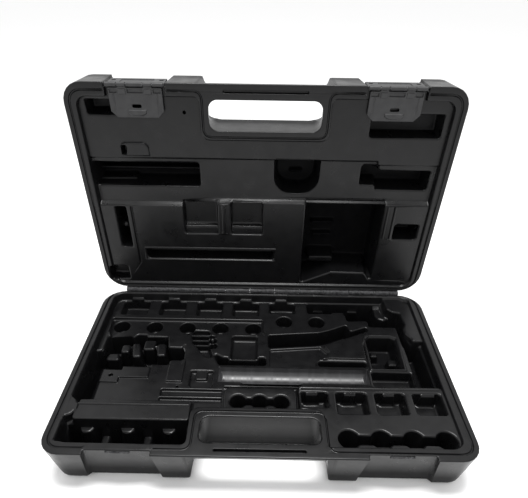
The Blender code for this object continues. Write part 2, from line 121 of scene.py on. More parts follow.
def distance_inside(outline, places):
    """Each place's distance from an outline, positive inside it."""
    start = np.array([tuple(point) for point in outline])
    side = np.roll(start, -1, axis=0) - start
    gap = places[:, None, :] - start[None, :, :]
    along = np.clip((gap * side).sum(2) / np.maximum((side * side).sum(1), 1e-12), 0.0, 1.0)
    nearest = np.hypot(*np.moveaxis(gap - along[:, :, None] * side, 2, 0)).min(1)
    end = np.roll(start, -1, axis=0)
    across, out = places[:, 0, None], places[:, 1, None]
    spans = (start[None, :, 1] > out) != (end[None, :, 1] > out)
    rise = np.where(np.abs(side[:, 1]) < 1e-12, 1e-12, side[:, 1])
    crossing = start[None, :, 0] + (out - start[None, :, 1]) / rise * side[None, :, 0]
    inside = (spans & (across < crossing)).sum(1) % 2 == 1
    return np.where(inside, nearest, -nearest)


def wall(s, high, low, top, foot, fall):
    """Depth s millimetres inside the edge of a leaning wall, whose edge and foot are rounded."""
    drop = low - high
    limit = np.maximum(ROUNDED_SHARE * drop, 1e-6)
    top, foot = np.minimum(top, limit), np.minimum(foot, limit)
    end = (drop - top - foot) / fall
    edge = high + top - np.sqrt(np.maximum(top ** 2 - (s + top) ** 2, 0.0))
    cove = low - foot + np.sqrt(np.maximum(foot ** 2 - (foot - (s - end)) ** 2, 0.0))
    depth = np.where(s < 0.0, edge, np.where(s < end, high + top + fall * s, cove))
    depth = np.where(s <= -top, high, np.where(s >= end + foot, low, depth))
    return np.where(drop > 1e-4, depth, high)


# How far across its radius a quarter circle has come after 0, 30, 60 and 90 degrees.
QUARTER = (0.0, 0.134, 0.5, 1.0)


def insets(high, low, top, foot, fall):
    """Where a leaning wall needs loops: round its edge, and round its foot."""
    drop = abs(low - high)
    top, foot = min(top, ROUNDED_SHARE * drop), min(foot, ROUNDED_SHARE * drop)
    end = (drop - top - foot) / fall
    return [-top * step for step in reversed(QUARTER)] + [end + foot * step for step in QUARTER]


# Features of a surface. Each knows its loops in plan, and how it changes a depth.

class Cut:
    """A pocket: everything inside its outline falls to a level, which may vary over the plan."""
    raised = False

    def __init__(self, points, level, start=TRAY_FLOOR, corner=3.0, top=2.2, foot=2.6, fall=DRAFT,
                 more=()):
        radii = list(corner) if isinstance(corner, (list, tuple)) else [corner] * len(points)
        self.points, self.radii, self.level, self.start = list(points), radii, level, start
        self.top, self.foot, self.fall, self.more = top, foot, fall, more

    def base_level(self):
        if callable(self.level):
            middle = np.mean(np.array(self.points), axis=0, keepdims=True)
            return float(self.level(middle[:, 0], middle[:, 1])[0])
        return self.level

    def loops(self):
        rows = insets(self.start, self.base_level(), self.top, self.foot, self.fall)
        rows += self.more
        sign = -1.0 if self.raised else 1.0
        return [(loop(self.points, self.radii, sign * row), True) for row in sorted(set(rows))]

    def apply(self, places, depth):
        outline = loop(self.points, self.radii, 0.0)
        reach = 1.5 + (abs(self.base_level() - self.start) + UNEVEN) / self.fall + self.foot
        low = np.min([tuple(point) for point in outline], axis=0) - reach
        high = np.max([tuple(point) for point in outline], axis=0) + reach
        near = np.all((places > low) & (places < high), axis=1)
        here, there = places[near], depth[near]
        s = distance_inside(outline, here)
        level = self.level(here[:, 0], here[:, 1]) if callable(self.level) else self.level + 0.0 * s
        if self.raised:
            changed = wall(-s, level, there, self.top, self.foot, self.fall)
            changed = np.where(there > level, changed, there)
        else:
            changed = wall(s, there, level, self.top, self.foot, self.fall)
        depth[near] = changed


class Raise(Cut):
    """An island: everything inside its outline stands up to a level."""
    raised = True


class Line:
    """A groove along an open path, or a bead where its depth is negative."""

    def __init__(self, points, half_width, deep):
        self.points = [Vector(point) for point in points]
        self.half_width, self.deep = half_width, deep

    def loops(self):
        rows = [self.half_width * step for step in (-1.0, -0.6, 0.0, 0.6, 1.0)]
        last = len(self.points) - 1
        result = []
        for row in rows:
            moved = []
            for index, here in enumerate(self.points):
                before, after = self.points[max(index - 1, 0)], self.points[min(index + 1, last)]
                ahead = (after - before).normalized()
                moved.append(here + Vector((-ahead.y, ahead.x)) * row)
            result.append((moved, False))
        return result

    def apply(self, places, depth):
        path = np.array([tuple(point) for point in self.points])
        start, side = path[:-1], path[1:] - path[:-1]
        low, high = path.min(0) - self.half_width, path.max(0) + self.half_width
        near = np.all((places >= low) & (places <= high), axis=1)
        gap = places[near][:, None, :] - start[None, :, :]
        along = np.clip((gap * side).sum(2) / (side * side).sum(1), 0.0, 1.0)
        away = np.hypot(*np.moveaxis(gap - along[:, :, None] * side, 2, 0)).min(1)
        share = np.clip(1.0 - away / self.half_width, 0.0, 1.0)
        depth[near] += self.deep * np.sqrt(share * (2.0 - share))


# Both halves share one plan.

def case_plan():
    """The case's outline, with a shallow recess behind each latch, and each corner's radius."""
    half = CASE_WIDTH / 2.0
    near, far = LATCH_ACROSS - LATCH_BAY_HALF, LATCH_ACROSS + LATCH_BAY_HALF
    corners = [(-half, 0.0, 26.0), (half, 0.0, 26.0), (half, CASE_DEPTH, 26.0)]
    right = [(far, CASE_DEPTH, 1.2), (far, LATCH_BAY_OUT, 1.5),
             (near, LATCH_BAY_OUT, 1.5), (near, CASE_DEPTH, 1.2)]
    corners += right + [(-across, out, radius) for across, out, radius in reversed(right)]
    corners.append((-half, CASE_DEPTH, 26.0))
    return [corner[:2] for corner in corners], [corner[2] for corner in corners]


CASE_PLAN = case_plan()
GRIP_PLAN = (box(*GRIP), [GRIP_RADIUS] * 4)


def skin(features, edge_profile, plan=CASE_PLAN, hole=GRIP_PLAN, hole_haste=1.0):
    """Triangles over a plan with a hole, with the depth of every corner.

    edge_profile(s) is the depth s millimetres inside the plan's edge. Round the hole the same
    profile is hole_haste times as steep.
    """
    places, edges = [], []

    def add(points, closed):
        kept = [points[0]]
        for point in points[1:]:
            if (Vector(point) - Vector(kept[-1])).length > LEAST_SPACING:
                kept.append(point)
        if closed and (Vector(kept[0]) - Vector(kept[-1])).length < LEAST_SPACING:
            kept.pop()
        first = len(places)
        places.extend(Vector((round(point[0], 4), round(point[1], 4))) for point in kept)
        count = len(kept)
        edges.extend((first + index, first + index + 1) for index in range(count - 1))
        if closed and count > 2:
            edges.append((first + count - 1, first))

    borders = [(plan, 1.0)] + ([(hole, -hole_haste)] if hole else [])
    for (points, radii), haste in borders:
        for inset in [0.0] + edge_profile.insets:
            add(loop(points, radii, inset / haste), True)

    def inside(where):
        distances = [haste * distance_inside(loop(*border, 0.0), where)
                     for border, haste in borders]
        return np.min(distances, axis=0)

    for feature in features:
        for points, closed in feature.loops():
            add(points, closed)
    found, _, faces, _, _, _ = delaunay_2d_cdt(places, edges, [], 0, 1e-3, False)
    flat = np.array([tuple(place) for place in found])
    s = inside(flat)
    s[np.abs(s) < 2e-3] = 0.0
    depth = edge_profile(s)
    for feature in features:
        feature.apply(flat, depth)
    middle = np.array([flat[list(face)].mean(0) for face in faces])
    keep = inside(middle) > 0.0
    return flat, depth, [face for face, kept in zip(faces, keep) if kept]


class InnerEdge:
    """The rim seen from inside the case: flat, with its outer edge rounded."""

    def __init__(self):
        self.insets = [RIM_ROUND * step for step in QUARTER[1:]]

    def __call__(self, s):
        run = np.maximum(RIM_ROUND - np.maximum(s, 0.0), 0.0)
        return RIM + RIM_ROUND - np.sqrt(RIM_ROUND ** 2 - run ** 2)


class OuterEdge:
    """The wall that falls from the rim's edge to the flat outer face."""

    def __init__(self, fall, foot=8.0):
        self.fall, self.foot = fall, foot
        self.end = (HALF_HEIGHT - foot - RIM - RIM_ROUND) / fall
        turns = [math.radians(angle) for angle in (0.0, 15.0, 30.0, 45.0, 60.0, 75.0, 90.0)]
        self.insets = [self.end + foot * (1.0 - math.cos(turn)) for turn in turns]

    def __call__(self, s):
        s = np.maximum(s, 0.0)
        sloped = RIM + RIM_ROUND + self.fall * s
        run = np.maximum(self.foot - (s - self.end), 0.0)
        cove = HALF_HEIGHT - self.foot + np.sqrt(np.maximum(self.foot ** 2 - run ** 2, 0.0))
        depth = np.where(s < self.end, sloped, cove)
        return np.where(s > self.end + self.foot, HALF_HEIGHT, depth)


class PlateFace:
    """One face of a plate whose edge is nearly square, with its corner rounded."""

    def __init__(self, middle, half, side, rounding=0.6):
        self.middle, self.reach, self.rounding = middle, half * side, rounding
        self.insets = [rounding * step for step in (0.012, 0.05, 0.14, 0.32, 0.6, 1.0)]

    def __call__(self, s):
        run = 1.0 - np.clip(s / self.rounding, 0.0, 1.0)
        return self.middle + self.reach * (1.0 - run ** 4) ** 0.25


def as_base(across, out, deep):
    """A place in the base, in metres in the frame."""
    return Vector((across, CASE_DEPTH / 2.0 - out, HALF_HEIGHT - deep)) * MM


def as_lid(across, out, deep):
    """A place in the upright lid, in metres in the frame."""
    return Vector((across, CASE_DEPTH / 2.0 + HINGE_GAP + deep, HALF_HEIGHT + HINGE_GAP + out)) * MM


def new_piece(name, mesh, body, slot, material, *nodes):
    """A visible piece that rides on a body, and replaces the CAD nodes it is named for."""
    item = bpy.data.objects.new(name, mesh)
    bpy.context.scene.collection.objects.link(item)
    mesh.materials.clear()
    mesh.materials.append(material)
    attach(item, body)
    if nodes:
        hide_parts(*nodes)
    return item


def stitch(shape, reach=0.03 * MM, rounds=12):
    """Close the seam between two skins.

    Each open edge is split where the other skin has a corner on it.
    """
    for _ in range(rounds):
        open_edges = [edge for edge in shape.edges if len(edge.link_faces) == 1]
        if not open_edges:
            return
        corners = list(dict.fromkeys(corner for edge in open_edges for corner in edge.verts))
        places = np.array([tuple(corner.co) for corner in corners])
        for edge in open_edges:
            start, end = np.array(edge.verts[0].co), np.array(edge.verts[1].co)
            side = end - start
            length = max(float(np.linalg.norm(side)), 1e-12)
            share = (places - start) @ side / length ** 2
            away = np.linalg.norm(places - start - share[:, None] * side, axis=1)
            margin = 0.2 * reach / length
            found = np.nonzero((away < reach) & (share > margin) & (share < 1.0 - margin))[0]
            if len(found):
                nearest = found[np.argmin(np.abs(share[found] - 0.5))]
                _, made = bmesh.utils.edge_split(edge, edge.verts[0], float(share[nearest]))
                made.co = corners[nearest].co
        bmesh.ops.remove_doubles(shape, verts=shape.verts, dist=SEAM_MERGE)


def closed_shape(place, inside, outside):
    """A closed solid from its inner and outer skins. Faces of the outer skin use material 1."""
    shape = bmesh.new()
    for skin_index, (flat, depth, faces) in enumerate((inside, outside)):
        corners = [shape.verts.new(place(*where, deep)) for where, deep in zip(flat, depth)]
        for face in faces:
            made = shape.faces.new([corners[index] for index in face])
            made.material_index = skin_index
    bmesh.ops.remove_doubles(shape, verts=shape.verts, dist=MERGE)
    loose = [corner for corner in shape.verts if not corner.link_faces]
    bmesh.ops.delete(shape, geom=loose, context="VERTS")
    bmesh.ops.dissolve_degenerate(shape, dist=SEAM_MERGE, edges=shape.edges)
    stitch(shape)
    return shape


def add_rings(shape, rings, ends):
    """A closed solid through rings of places: with two end faces, or joined up end to end."""
    loops = [[shape.verts.new(place) for place in points] for points in rings]
    following = loops[1:] if ends else loops[1:] + loops[:1]
    for lower, upper in zip(loops, following):
        for index in range(len(lower)):
            follow = (index + 1) % len(lower)
            shape.faces.new((lower[index], lower[follow], upper[follow], upper[index]))
    if ends:
        shape.faces.new(loops[0][::-1])
        shape.faces.new(loops[-1])


def add_bar(shape, place, profile, left, right, chamfer=0.45):
    """A solid of one profile along the hinge, with chamfered ends."""
    middle = np.mean(np.array(profile), axis=0)
    spread = np.abs(np.array(profile) - middle).max()
    shrink = 1.0 - chamfer / spread
    small = [tuple(middle + (np.array(point) - middle) * shrink) for point in profile]
    rows = ((left, small), (left + chamfer, profile), (right - chamfer, profile), (right, small))
    rings = [[place(across, *point) for point in points] for across, points in rows]
    add_rings(shape, rings, True)


def add_tube(shape, place, outer, bore, left, right, chamfer=0.35):
    """A barrel with a bore along the hinge."""
    rows = ((left + chamfer, outer), (right - chamfer, outer), (right, outer - chamfer),
            (right, bore), (left, bore), (left, outer - chamfer))
    rings = [[place(across, *point) for point in disc(0.0, 0.0, radius, 24)]
             for across, radius in rows]
    add_rings(shape, rings, False)


def finished_mesh(name, shape):
    """A smooth-shaded mesh of a shape. The shape is used up."""
    bmesh.ops.recalc_face_normals(shape, faces=shape.faces)
    for face in shape.faces:
        face.smooth = True
    mesh = bpy.data.meshes.new(name)
    shape.to_mesh(mesh)
    shape.free()
    return mesh


def weigh_normals(item, sharp=50.0):
    """Shade flat faces flat beside rounded ones. Edges of more than sharp degrees stay sharp."""
    item.data.set_sharp_from_angle(angle=math.radians(sharp))
    modifier = item.modifiers.new("weighted_normals", "WEIGHTED_NORMAL")
    modifier.keep_sharp = True
    modifier.weight = 50


# Paths along the surface.

def ring(points):
    """A path that ends where it starts."""
    return list(points) + [points[0]]


def rounded_path(points, radius, steps=8):
    """An open path with its inner corners rounded."""
    result = [points[0]]
    for before, here, after in zip(points, points[1:], points[2:]):
        here = Vector(here)
        back, ahead = Vector(before) - here, Vector(after) - here
        reach = min(radius, 0.45 * back.length, 0.45 * ahead.length)
        start, end = here + back.normalized() * reach, here + ahead.normalized() * reach
        for step in range(steps + 1):
            share = step / steps
            rest = 1.0 - share
            result.append(tuple(start * rest ** 2 + here * 2.0 * share * rest + end * share ** 2))
    return result + [points[-1]]


OUTER_GROOVE = rounded_path([(-160.5, 236.0), (-194.0, 236.0), (-194.0, 2.7), (194.0, 2.7),
                             (194.0, 236.0), (160.5, 236.0)], 20.0)
GRIP_GROOVE = rounded_path([(-95.5, 236.0), (-63.0, 236.0), (-63.0, 192.2), (63.0, 192.2),
                            (63.0, 236.0), (95.5, 236.0)], 9.0)
RIM_GROOVES = (OUTER_GROOVE, GRIP_GROOVE)
GRIP_SLOT = Cut(box(-42, 42, 234.3, 237.3), 4.0, start=RIM, corner=1.4, top=0.5, foot=0.5)


# The base's inside.

# The cones' seats: a row, and a pair beside it.
CONE_SEATS = [(-171.0 + 40.2 * index, 54.5) for index in range(5)]
PAIRED_SEATS = [(27.5, 45.0), (67.4, 45.0)]
TROUGH_OUT, TROUGH_RADIUS = 134.2, 10.8


def trough_level(across, out):
    """The floor of the round handle's trough: a half cylinder below the tray's floor."""
    return TRAY_FLOOR + np.sqrt(np.maximum(TROUGH_RADIUS ** 2 - (out - TROUGH_OUT) ** 2, 0.0))


BASE_INSIDE = [
    Cut([(-188, 5.3), (186.5, 5.3), (186.5, 230), (62, 230), (62, 187), (-68, 187), (-68, 230),
         (-188, 230)], TRAY_FLOOR, start=RIM, corner=[12, 12, 12, 5, 9, 9, 5, 12], top=1.5,
        foot=1.5),
    # Plateaus.
    Cut([(-185.5, 42), (1.5, 42), (2, 61.5), (7, 69.5), (-34, 70), (-61, 70), (-180, 75.5)], 15.0,
        top=1.2),
    Raise([(154.5, 0.5), (189.5, 0.5), (190, 84.5), (175.5, 84.5), (173.5, 78.5), (168.5, 70.5),
           (168, 62.5), (172, 55.5), (171, 33), (162, 31), (156.5, 25)], 3.0, corner=3.0),
    Raise([(39, 161.5), (184.5, 161.5), (184.5, 155), (38.5, 155)], 4.0, corner=1.0),
    Raise([(38.5, 155.5), (191, 155.5), (192, 237), (55.5, 237), (55, 187.5), (39, 187.5)], 3.0,
          corner=4.0),
    Raise([(-37, 158.5), (36, 158.5), (36, 194), (-37, 194)], 3.0, corner=6.0),
    Raise(box(-181, -69, 176, 184), 5.0, corner=2.0, top=1.2),
    Raise([(-181, 182.5), (-69, 182.5), (-68.5, 202.5), (-180.5, 202.5)], 2.0, start=5.0,
          corner=3.0, top=1.2),
    Line([(-179, 184.2), (-71, 184.2)], 1.5, -1.1),
    Line([(41, 158.0), (183, 158.0)], 1.6, -1.1),
    Line([(-100, 159.5), (-41, 159.5)], 1.4, -1.1),
    Raise([(-195, 174.5), (-187, 176.5), (-182, 180.5), (-179, 186.5), (-179, 192), (-182.5, 198),
           (-194.5, 204)], 0.6, corner=4.0),
    Raise([(-196.5, 39), (-189.5, 41), (-182.5, 47), (-183, 69.5), (-178, 72.5), (-181, 82.5),
           (-180, 96.5), (-184.5, 103), (-195.5, 101)], 10.0, corner=3.0),
    *[Raise(box(middle - 7.5, middle + 7.5, 3.0, 8.4), 6.0, corner=1.5)
      for middle in (-160.5, -113.5, -66.5, -21.0, 24.5)],
    # Die pockets and the head's pocket.
    *[Cut(box(left, right, 8.6, 34.0), 23.5, corner=2.5)
      for left, right in ((-177, -144), (-129.5, -97.5), (-82.5, -50.5), (-37, -4))],
    Cut(box(9.5, 42, 8.5, 28.5), 23.5),
    Cut([(57, 7.5), (154, 7.5), (156, 25), (162.5, 31), (170.5, 33), (171.5, 54.5), (168, 62.5),
         (168.5, 70.5), (174, 83.5), (165, 89.5), (163.5, 51.5), (131, 51.5), (131, 40),
         (106, 41.5), (103.5, 24.5), (88.5, 24.5), (88.5, 27.5), (57.5, 27.5)], 43.0, top=1.2,
        foot=2.5),
    Cut([(166.5, 77.5), (175.5, 84.5), (183, 84.5), (184, 153.5), (166.5, 153.5)], 36.0, foot=2.5),
    Raise([(143.5, 0.5), (163, 0.5), (163, 23), (160, 30), (153.5, 33), (147, 30), (144, 23)], 16.0,
          start=43.0, corner=3.0),
    Raise([(106.5, 42), (131, 39.5), (128, 50), (108, 60.5)], 12.0, start=15.0, corner=2.0),
    # Seats for the cones.
    *[Cut(disc(*seat, 9.8), 30.0, start=15.0, corner=0.0, top=1.2) for seat in CONE_SEATS],
    *[Cut(disc(*seat, 10.0), 27.0, corner=0.0, top=1.2) for seat in PAIRED_SEATS],
    # The yoke's channel, and the ground either side of it.
    Cut([(7.5, 69.5), (69, 63.5), (82, 59), (104, 48), (107, 61), (128, 51.5), (129, 58.5),
         (82, 81.5), (68, 86), (8, 91.5)], 32.0, top=1.2, foot=2.5),
    Cut([(-34.5, 72), (-5, 72), (-5, 110), (-34.5, 110)], 19.0),
    Cut([(123.5, 75.5), (128.5, 70.5), (153, 70.5), (157.5, 73.5), (156, 122), (124, 122)], 33.0,
        corner=3.0),
    Cut(box(120.5, 165, 127, 148), 24.0),
    # The feed screw's stepped pocket.
    Cut([(-188.5, 103), (-180, 100), (-180, 75.5), (-153.5, 75.5), (-148.5, 68), (-137.5, 68),
         (-137.5, 71.5), (-111, 71.5), (-107.5, 93.5), (-90.5, 93.5), (-88, 86.5), (-87, 113),
         (-102.5, 113), (-102.5, 120.5), (-122.5, 120.5), (-122.5, 125.5), (-152, 125.5),
         (-152, 130.5), (-172, 130.5), (-171.5, 175.5), (-188, 175.5)], 39.0, start=13.0, foot=2.5),
    Raise(box(-162.5, -152.5, 85.5, 98.5), 15.0, start=39.0),
    Raise([(-151.5, 83), (-142.5, 83), (-137, 105), (-147, 106)], 15.0, start=39.0),
    Raise(box(-137.5, -124, 77.5, 93.5), 15.0, start=39.0),
    Raise([(-122.5, 83), (-111.5, 83), (-109.5, 103), (-119.5, 103)], 15.0, start=39.0),
    Raise([(-177, 95.5), (-164.5, 95.5), (-162.5, 106.5), (-179, 106.5)], 20.0, start=39.0),
    # The rungs and the scalloped island beside them.
    Cut([(-84, 59.5), (-62.5, 59.5), (-62, 83.5), (-54.5, 108), (-62.5, 108), (-81, 83.5)], 22.0,
        start=15.0),
    *[Raise(box(-86, -60, out - 1.6, out + 1.6), 14.0, start=22.0, corner=1.0)
      for out in (68.5, 77.0, 85.5)],
    # The gaps above the trough.
    Cut([(-55, 100), (-43, 108), (-37, 108), (-37, 112), (-3, 112), (-3, 107), (5, 107), (5.5, 119),
         (-47.5, 119)], 30.0),
    Cut(box(63.5, 117.5, 111.5, 119), 30.0),
    # The trough for the round handle.
    Cut(box(-46, 116.5, 123.5, 145), trough_level, corner=1.0, top=0.8, foot=0.5,
        more=(2.0, 3.2, 4.4, 5.6, 6.8, 8.0, 9.2, 10.3)),
    Cut(box(-20.5, 43.5, 145, 149.5), 20.0, corner=1.5),
    # The racks.
    Cut(box(40, 68, 163.5, 182.5), 18.5, start=3.0),
    *[Cut(box(left, right, 163.5, 190), 18.5, start=3.0)
      for left, right in ((76, 107), (115.5, 145.5), (154, 183))],
    # The front pockets and the lobes.
    Cut(box(-188, -69, 203.5, 228.5), 43.0, foot=2.5),
    *[Raise(box(left, right, 198, 232), 24.0, start=43.0, corner=1.0)
      for left, right in ((-154, -146), (-113, -105))],
    *[Cut(disc(across, 219.3, 9.8), 33.0, start=3.0, corner=0.0)
      for across in (82.5, 112.8, 143.1, 173.4)],
    Cut(box(83, 173, 215.5, 224.5), 33.0, start=3.0, corner=0.5),
    *[Cut(disc(across, 177.0, 8.2), 30.0, start=3.0, corner=0.0) for across in (-22.5, -1.0, 20.5)],
    Cut(box(-22, 20, 173.5, 181), 30.0, start=3.0, corner=0.5),
    # The terraces left of the trough, and the steps in front of it.
    Raise([(-171, 131.5), (-151, 131.5), (-151, 126.5), (-121, 126.5), (-121, 142), (-152, 142),
           (-152, 149), (-171, 149)], 9.0, corner=1.0),
    Cut(disc(-161.0, 139.5, 2.4, 16), 13.0, start=9.0, corner=0.0, top=0.5, foot=0.5),
    Raise([(-101, 121.5), (-88, 121.5), (-88, 114), (-84, 114), (-84, 147), (-101, 147)], 9.0,
          corner=1.0),
    Cut(disc(-88.0, 152.5, 1.6, 12), 15.0, corner=0.0, top=0.4, foot=0.4),
    Cut([(-76, 129.5), (-52, 129.5), (-52, 153.5), (-76, 153.5)], 15.0, corner=[1, 1, 5, 5]),
    Raise(box(-70, -58, 126, 141), 12.5, start=15.0, corner=1.5),
    Cut([(-104, 156), (-40, 156), (-40, 172.5), (-104, 172.5)], 14.0, corner=1.5),
    Raise(box(-106, -38, 164.5, 167.5), 11.0, start=14.0, corner=1.0),
    Raise([(-39, 149.5), (-22, 149.5), (-22, 152), (44, 152), (44, 149.5), (119, 149.5), (119, 154),
           (-39, 154)], 8.0, corner=1.0),
    # Tabs of the rack's strip over its four trays.
    *[Raise(box(left, right, 158, 166.5), 4.0, start=18.5, corner=1.0)
      for left, right in ((46, 58), (85, 97), (124.5, 136.5), (163, 177.5))],
    # The ground around the yoke's channel.
    Raise([(72.5, 88.5), (83.5, 84), (130, 61.5), (122.5, 72), (118, 84), (118, 108.5),
           (76.5, 108.5), (66, 111), (79, 99.5)], 9.0, corner=2.0),
    Cut([(10, 95), (68.5, 89), (76, 99), (61.5, 112.5), (61.5, 120.5), (9, 120.5)], 13.5,
        corner=2.0),
    *[Cut(disc(across, out, 4.6, 20), 20.0, corner=0.0, top=1.2)
      for across, out in ((-58.5, 72.5), (-57.0, 81.0), (-55.5, 90.0))],
    Cut(disc(-87.5, 67.0, 1.8, 14), 20.0, start=15.0, corner=0.0, top=0.5, foot=0.5),
    # A raised frame round the grip's pocket, and the blocks inside it.
    Line(ring([(120.8, 74.5), (127, 67.8), (154.5, 67.8), (160.2, 72.2), (158.8, 124.2),
               (120.8, 124.2)]), 1.7, -1.6),
    Raise(box(128, 136, 84, 92), 22.0, start=33.0, corner=1.5),
    Raise(box(146, 158, 96, 106), 22.0, start=33.0, corner=1.5),
    # Bosses in the seats, ledges in the die pockets, lips on the back walls.
    *[Raise(disc(*seat, 4.8, 20), 22.5, start=27.0, corner=0.0) for seat in PAIRED_SEATS],
    *[Cut(disc(*seat, 2.4, 16), 27.0, start=22.5, corner=0.0, top=0.5, foot=0.5)
      for seat in PAIRED_SEATS],
    *[Raise(disc(*seat, 3.6, 18), 26.0, start=30.0, corner=0.0) for seat in CONE_SEATS],
    *[Raise(box(middle - 7.0, middle + 7.0, 27.5, 31.5), 21.0, start=23.5, corner=1.0)
      for middle in (-160.5, -113.5, -66.5, -20.5)],
    *[Raise(box(middle - 6.5, middle + 6.5, 3.0, 10.5), 21.5, start=43.0, corner=1.5)
      for middle in (73.0, 118.0)],
    *[Raise(disc(across, 203.0, 7.0, 24), 14.0, start=43.0, corner=0.0)
      for across in (-167.5, -128.0, -88.0)],
    # A slot in the carrying bar, and the grooves in the rim.
    GRIP_SLOT,
    *[Line(path, 1.2, 1.5) for path in RIM_GROOVES],
]


# The lid's inside.

LID_INSIDE = [
    Cut([(-188, 7), (188, 7), (188, 230), (66, 230), (66, 188.5), (-66, 188.5), (-66, 230),
         (-188, 230)], 9.0, start=RIM, corner=[12, 12, 12, 5, 9, 9, 5, 12], top=1.5, foot=1.5),
    Raise([(-194, 167), (122, 167), (122, 163), (194, 163), (194, 236), (-194, 236)], 6.0,
          corner=2.0),
    Raise([(-194, 3), (194, 3), (194, 118.5), (-1, 118.5), (-50, 118.5), (-93, 113.7),
           (-150, 113.7), (-194, 113.7)], 3.0, corner=3.0, top=1.6, fall=1.43),
    Cut(box(-181, -120, 211.5, 225.6), 26.0, start=6.0),
    Cut(box(108, 181.6, 192.6, 215.8), 26.0, start=6.0),
    Cut(box(-187, -71.5, 135, 161.3), 36.0),
    Cut([(11, 167.7), (60.6, 167.7), (60.6, 128.4), (11, 128.4)], 40.0, corner=[3, 3, 23, 23]),
    Cut([(106, 162), (124, 162), (124, 156), (182, 156), (182, 134.3), (124, 134.3), (124, 139.8),
         (106, 139.8)], 34.0),
    Cut(box(-92.7, -53.4, 78.3, 117.7), 14.0, start=3.0),
    Cut(box(-38, -1, 78, 118.5), 14.0, start=3.0),
    Cut(box(-142, 13, 43, 55.5), 20.0, start=3.0),
    Cut(box(-171, -159, 58, 111.6), 30.0, start=3.0),
    Cut(box(-193, -170, 11, 31), 16.0, start=3.0),
    Cut([(48, 122), (138, 122), (138, 11), (129, 25.5), (86, 26.4), (48, 9)], 43.0, start=3.0,
        corner=3.0, top=2.2, foot=3.0),
    Cut(box(154, 181.6, 74, 94), 30.0, start=3.0),
    # Steps, ledges and beads of the liner.
    Raise([(-153, 170.5), (-123, 170.5), (-123, 184), (-153, 184)], 3.2, start=6.0,
          corner=[1, 1, 9, 9], top=1.4),
    Cut([(-152, 171.5), (-147.5, 171.5), (-146, 181), (-152, 181)], 14.0, start=3.2, corner=1.2),
    Raise(box(-187.5, -72, 147.2, 150.2), 27.0, start=36.0, corner=1.0),
    Raise(box(-187.5, -145, 133, 139), 22.0, start=36.0, corner=1.5),
    Raise(box(30, 42, 143.5, 146.0), 34.0, start=40.0, corner=1.0),
    Raise(box(57.6, 88.8, 30.7, 38.8), 20.0, start=43.0, corner=3.0),
    Raise(box(62, 84, 60.5, 63.5), 35.0, start=43.0, corner=1.0),
    Raise(box(60, 86, 77.5, 80.5), 35.0, start=43.0, corner=1.0),
    *[Line([(across, 75.5), (across, 117.0)], 1.6, -1.6) for across in (142.5, 150.5)],
    *[Raise(box(left, right, 77, 86), 8.5, start=14.0, corner=1.5, fall=2.0)
      for left, right in ((-93, -53), (-38.4, -0.6))],
    Line([(-46.5, 80.0), (-46.5, 116.0)], 2.6, -1.9),
    Line(ring([(-144.5, 40.8), (15.5, 40.8), (15.5, 57.8), (-144.5, 57.8)]), 1.3, -0.9),
    Raise(disc(-165.0, 84.0, 3.6, 18), 12.0, start=30.0, corner=0.0),
    Line([(-152.5, 36.0), (-152.5, 112.0)], 1.6, 1.8),
    Line([(155.0, 14.0), (176.0, 14.0)], 1.0, -0.9),
    GRIP_SLOT,
    Cut(disc(-82.0, 214.5, 1.7, 14), 12.0, start=6.0, corner=0.0, top=0.5, foot=0.5),
    *[Line(path, 1.2, 1.4) for path in RIM_GROOVES],
]

# The room in the lid's rim where the latch plates hang when the lid is up.
LATCH_NOTCHES = [Cut(box(middle - 29.6, middle + 29.6, 204, 250), 5.3, start=RIM, corner=1.0,
                     top=0.6, foot=0.8) for middle in (-LATCH_ACROSS, LATCH_ACROSS)]
LID_INSIDE += LATCH_NOTCHES

# Both outsides: the floor, and the bay that clears the fingers below the carrying bar.
OUTSIDE = [
    Raise([(-60, 204), (60, 204), (60, 260), (-60, 260)], BAR_THICKNESS, start=HALF_HEIGHT,
          corner=6.0, top=2.0, foot=4.0, fall=5.4),
]


# Materials.

class Nodes:
    """A small helper that adds nodes to one material and links them."""

    def __init__(self, name):
        self.material = bpy.data.materials.new(name)
        self.material.use_nodes = True
        self.tree = self.material.node_tree
        self.shader = self.tree.nodes["Principled BSDF"]
        self.place = self.add("ShaderNodeTexCoord").outputs["Object"]

    def add(self, kind, inputs=(), **settings):
        node = self.tree.nodes.new(kind)
        for key, value in settings.items():
            setattr(node, key, value)
        for key, value in dict(inputs).items():
            if isinstance(value, bpy.types.NodeSocket):
                self.tree.links.new(value, node.inputs[key])
            else:
                node.inputs[key].default_value = value
        return node

    def noise(self, scale, detail=2.0, roughness=0.5):
        inputs = {"Vector": self.place, "Scale": scale, "Detail": detail, "Roughness": roughness}
        return self.add("ShaderNodeTexNoise", inputs).outputs["Fac"]

    def streaks(self, scale):
        """Noise stretched by a scale of its own along each axis."""
        stretched = self.add("ShaderNodeMapping", {"Vector": self.place, "Scale": scale})
        inputs = {"Vector": stretched.outputs["Vector"], "Scale": 1.0, "Detail": 3.0}
        return self.add("ShaderNodeTexNoise", inputs).outputs["Fac"]

    def remap(self, value, low, high, start=0.3, stop=0.7):
        return self.add("ShaderNodeMapRange", {"Value": value, "From Min": start, "From Max": stop,
                                               "To Min": low, "To Max": high}).outputs["Result"]

    def blend_colours(self, amount, first, second):
        node = self.add("ShaderNodeMix", {"Factor": amount}, data_type="RGBA")
        node.inputs[6].default_value = (*first, 1.0)
        node.inputs[7].default_value = (*second, 1.0)
        return node.outputs[2]

    def bump(self, height, strength, distance, normal=None):
        inputs = {"Height": height, "Strength": strength, "Distance": distance}
        if normal:
            inputs["Normal"] = normal
        return self.add("ShaderNodeBump", inputs).outputs["Normal"]

    def set(self, name, value):
        if isinstance(value, bpy.types.NodeSocket):
            self.tree.links.new(value, self.shader.inputs[name])
        else:
            self.shader.inputs[name].default_value = value


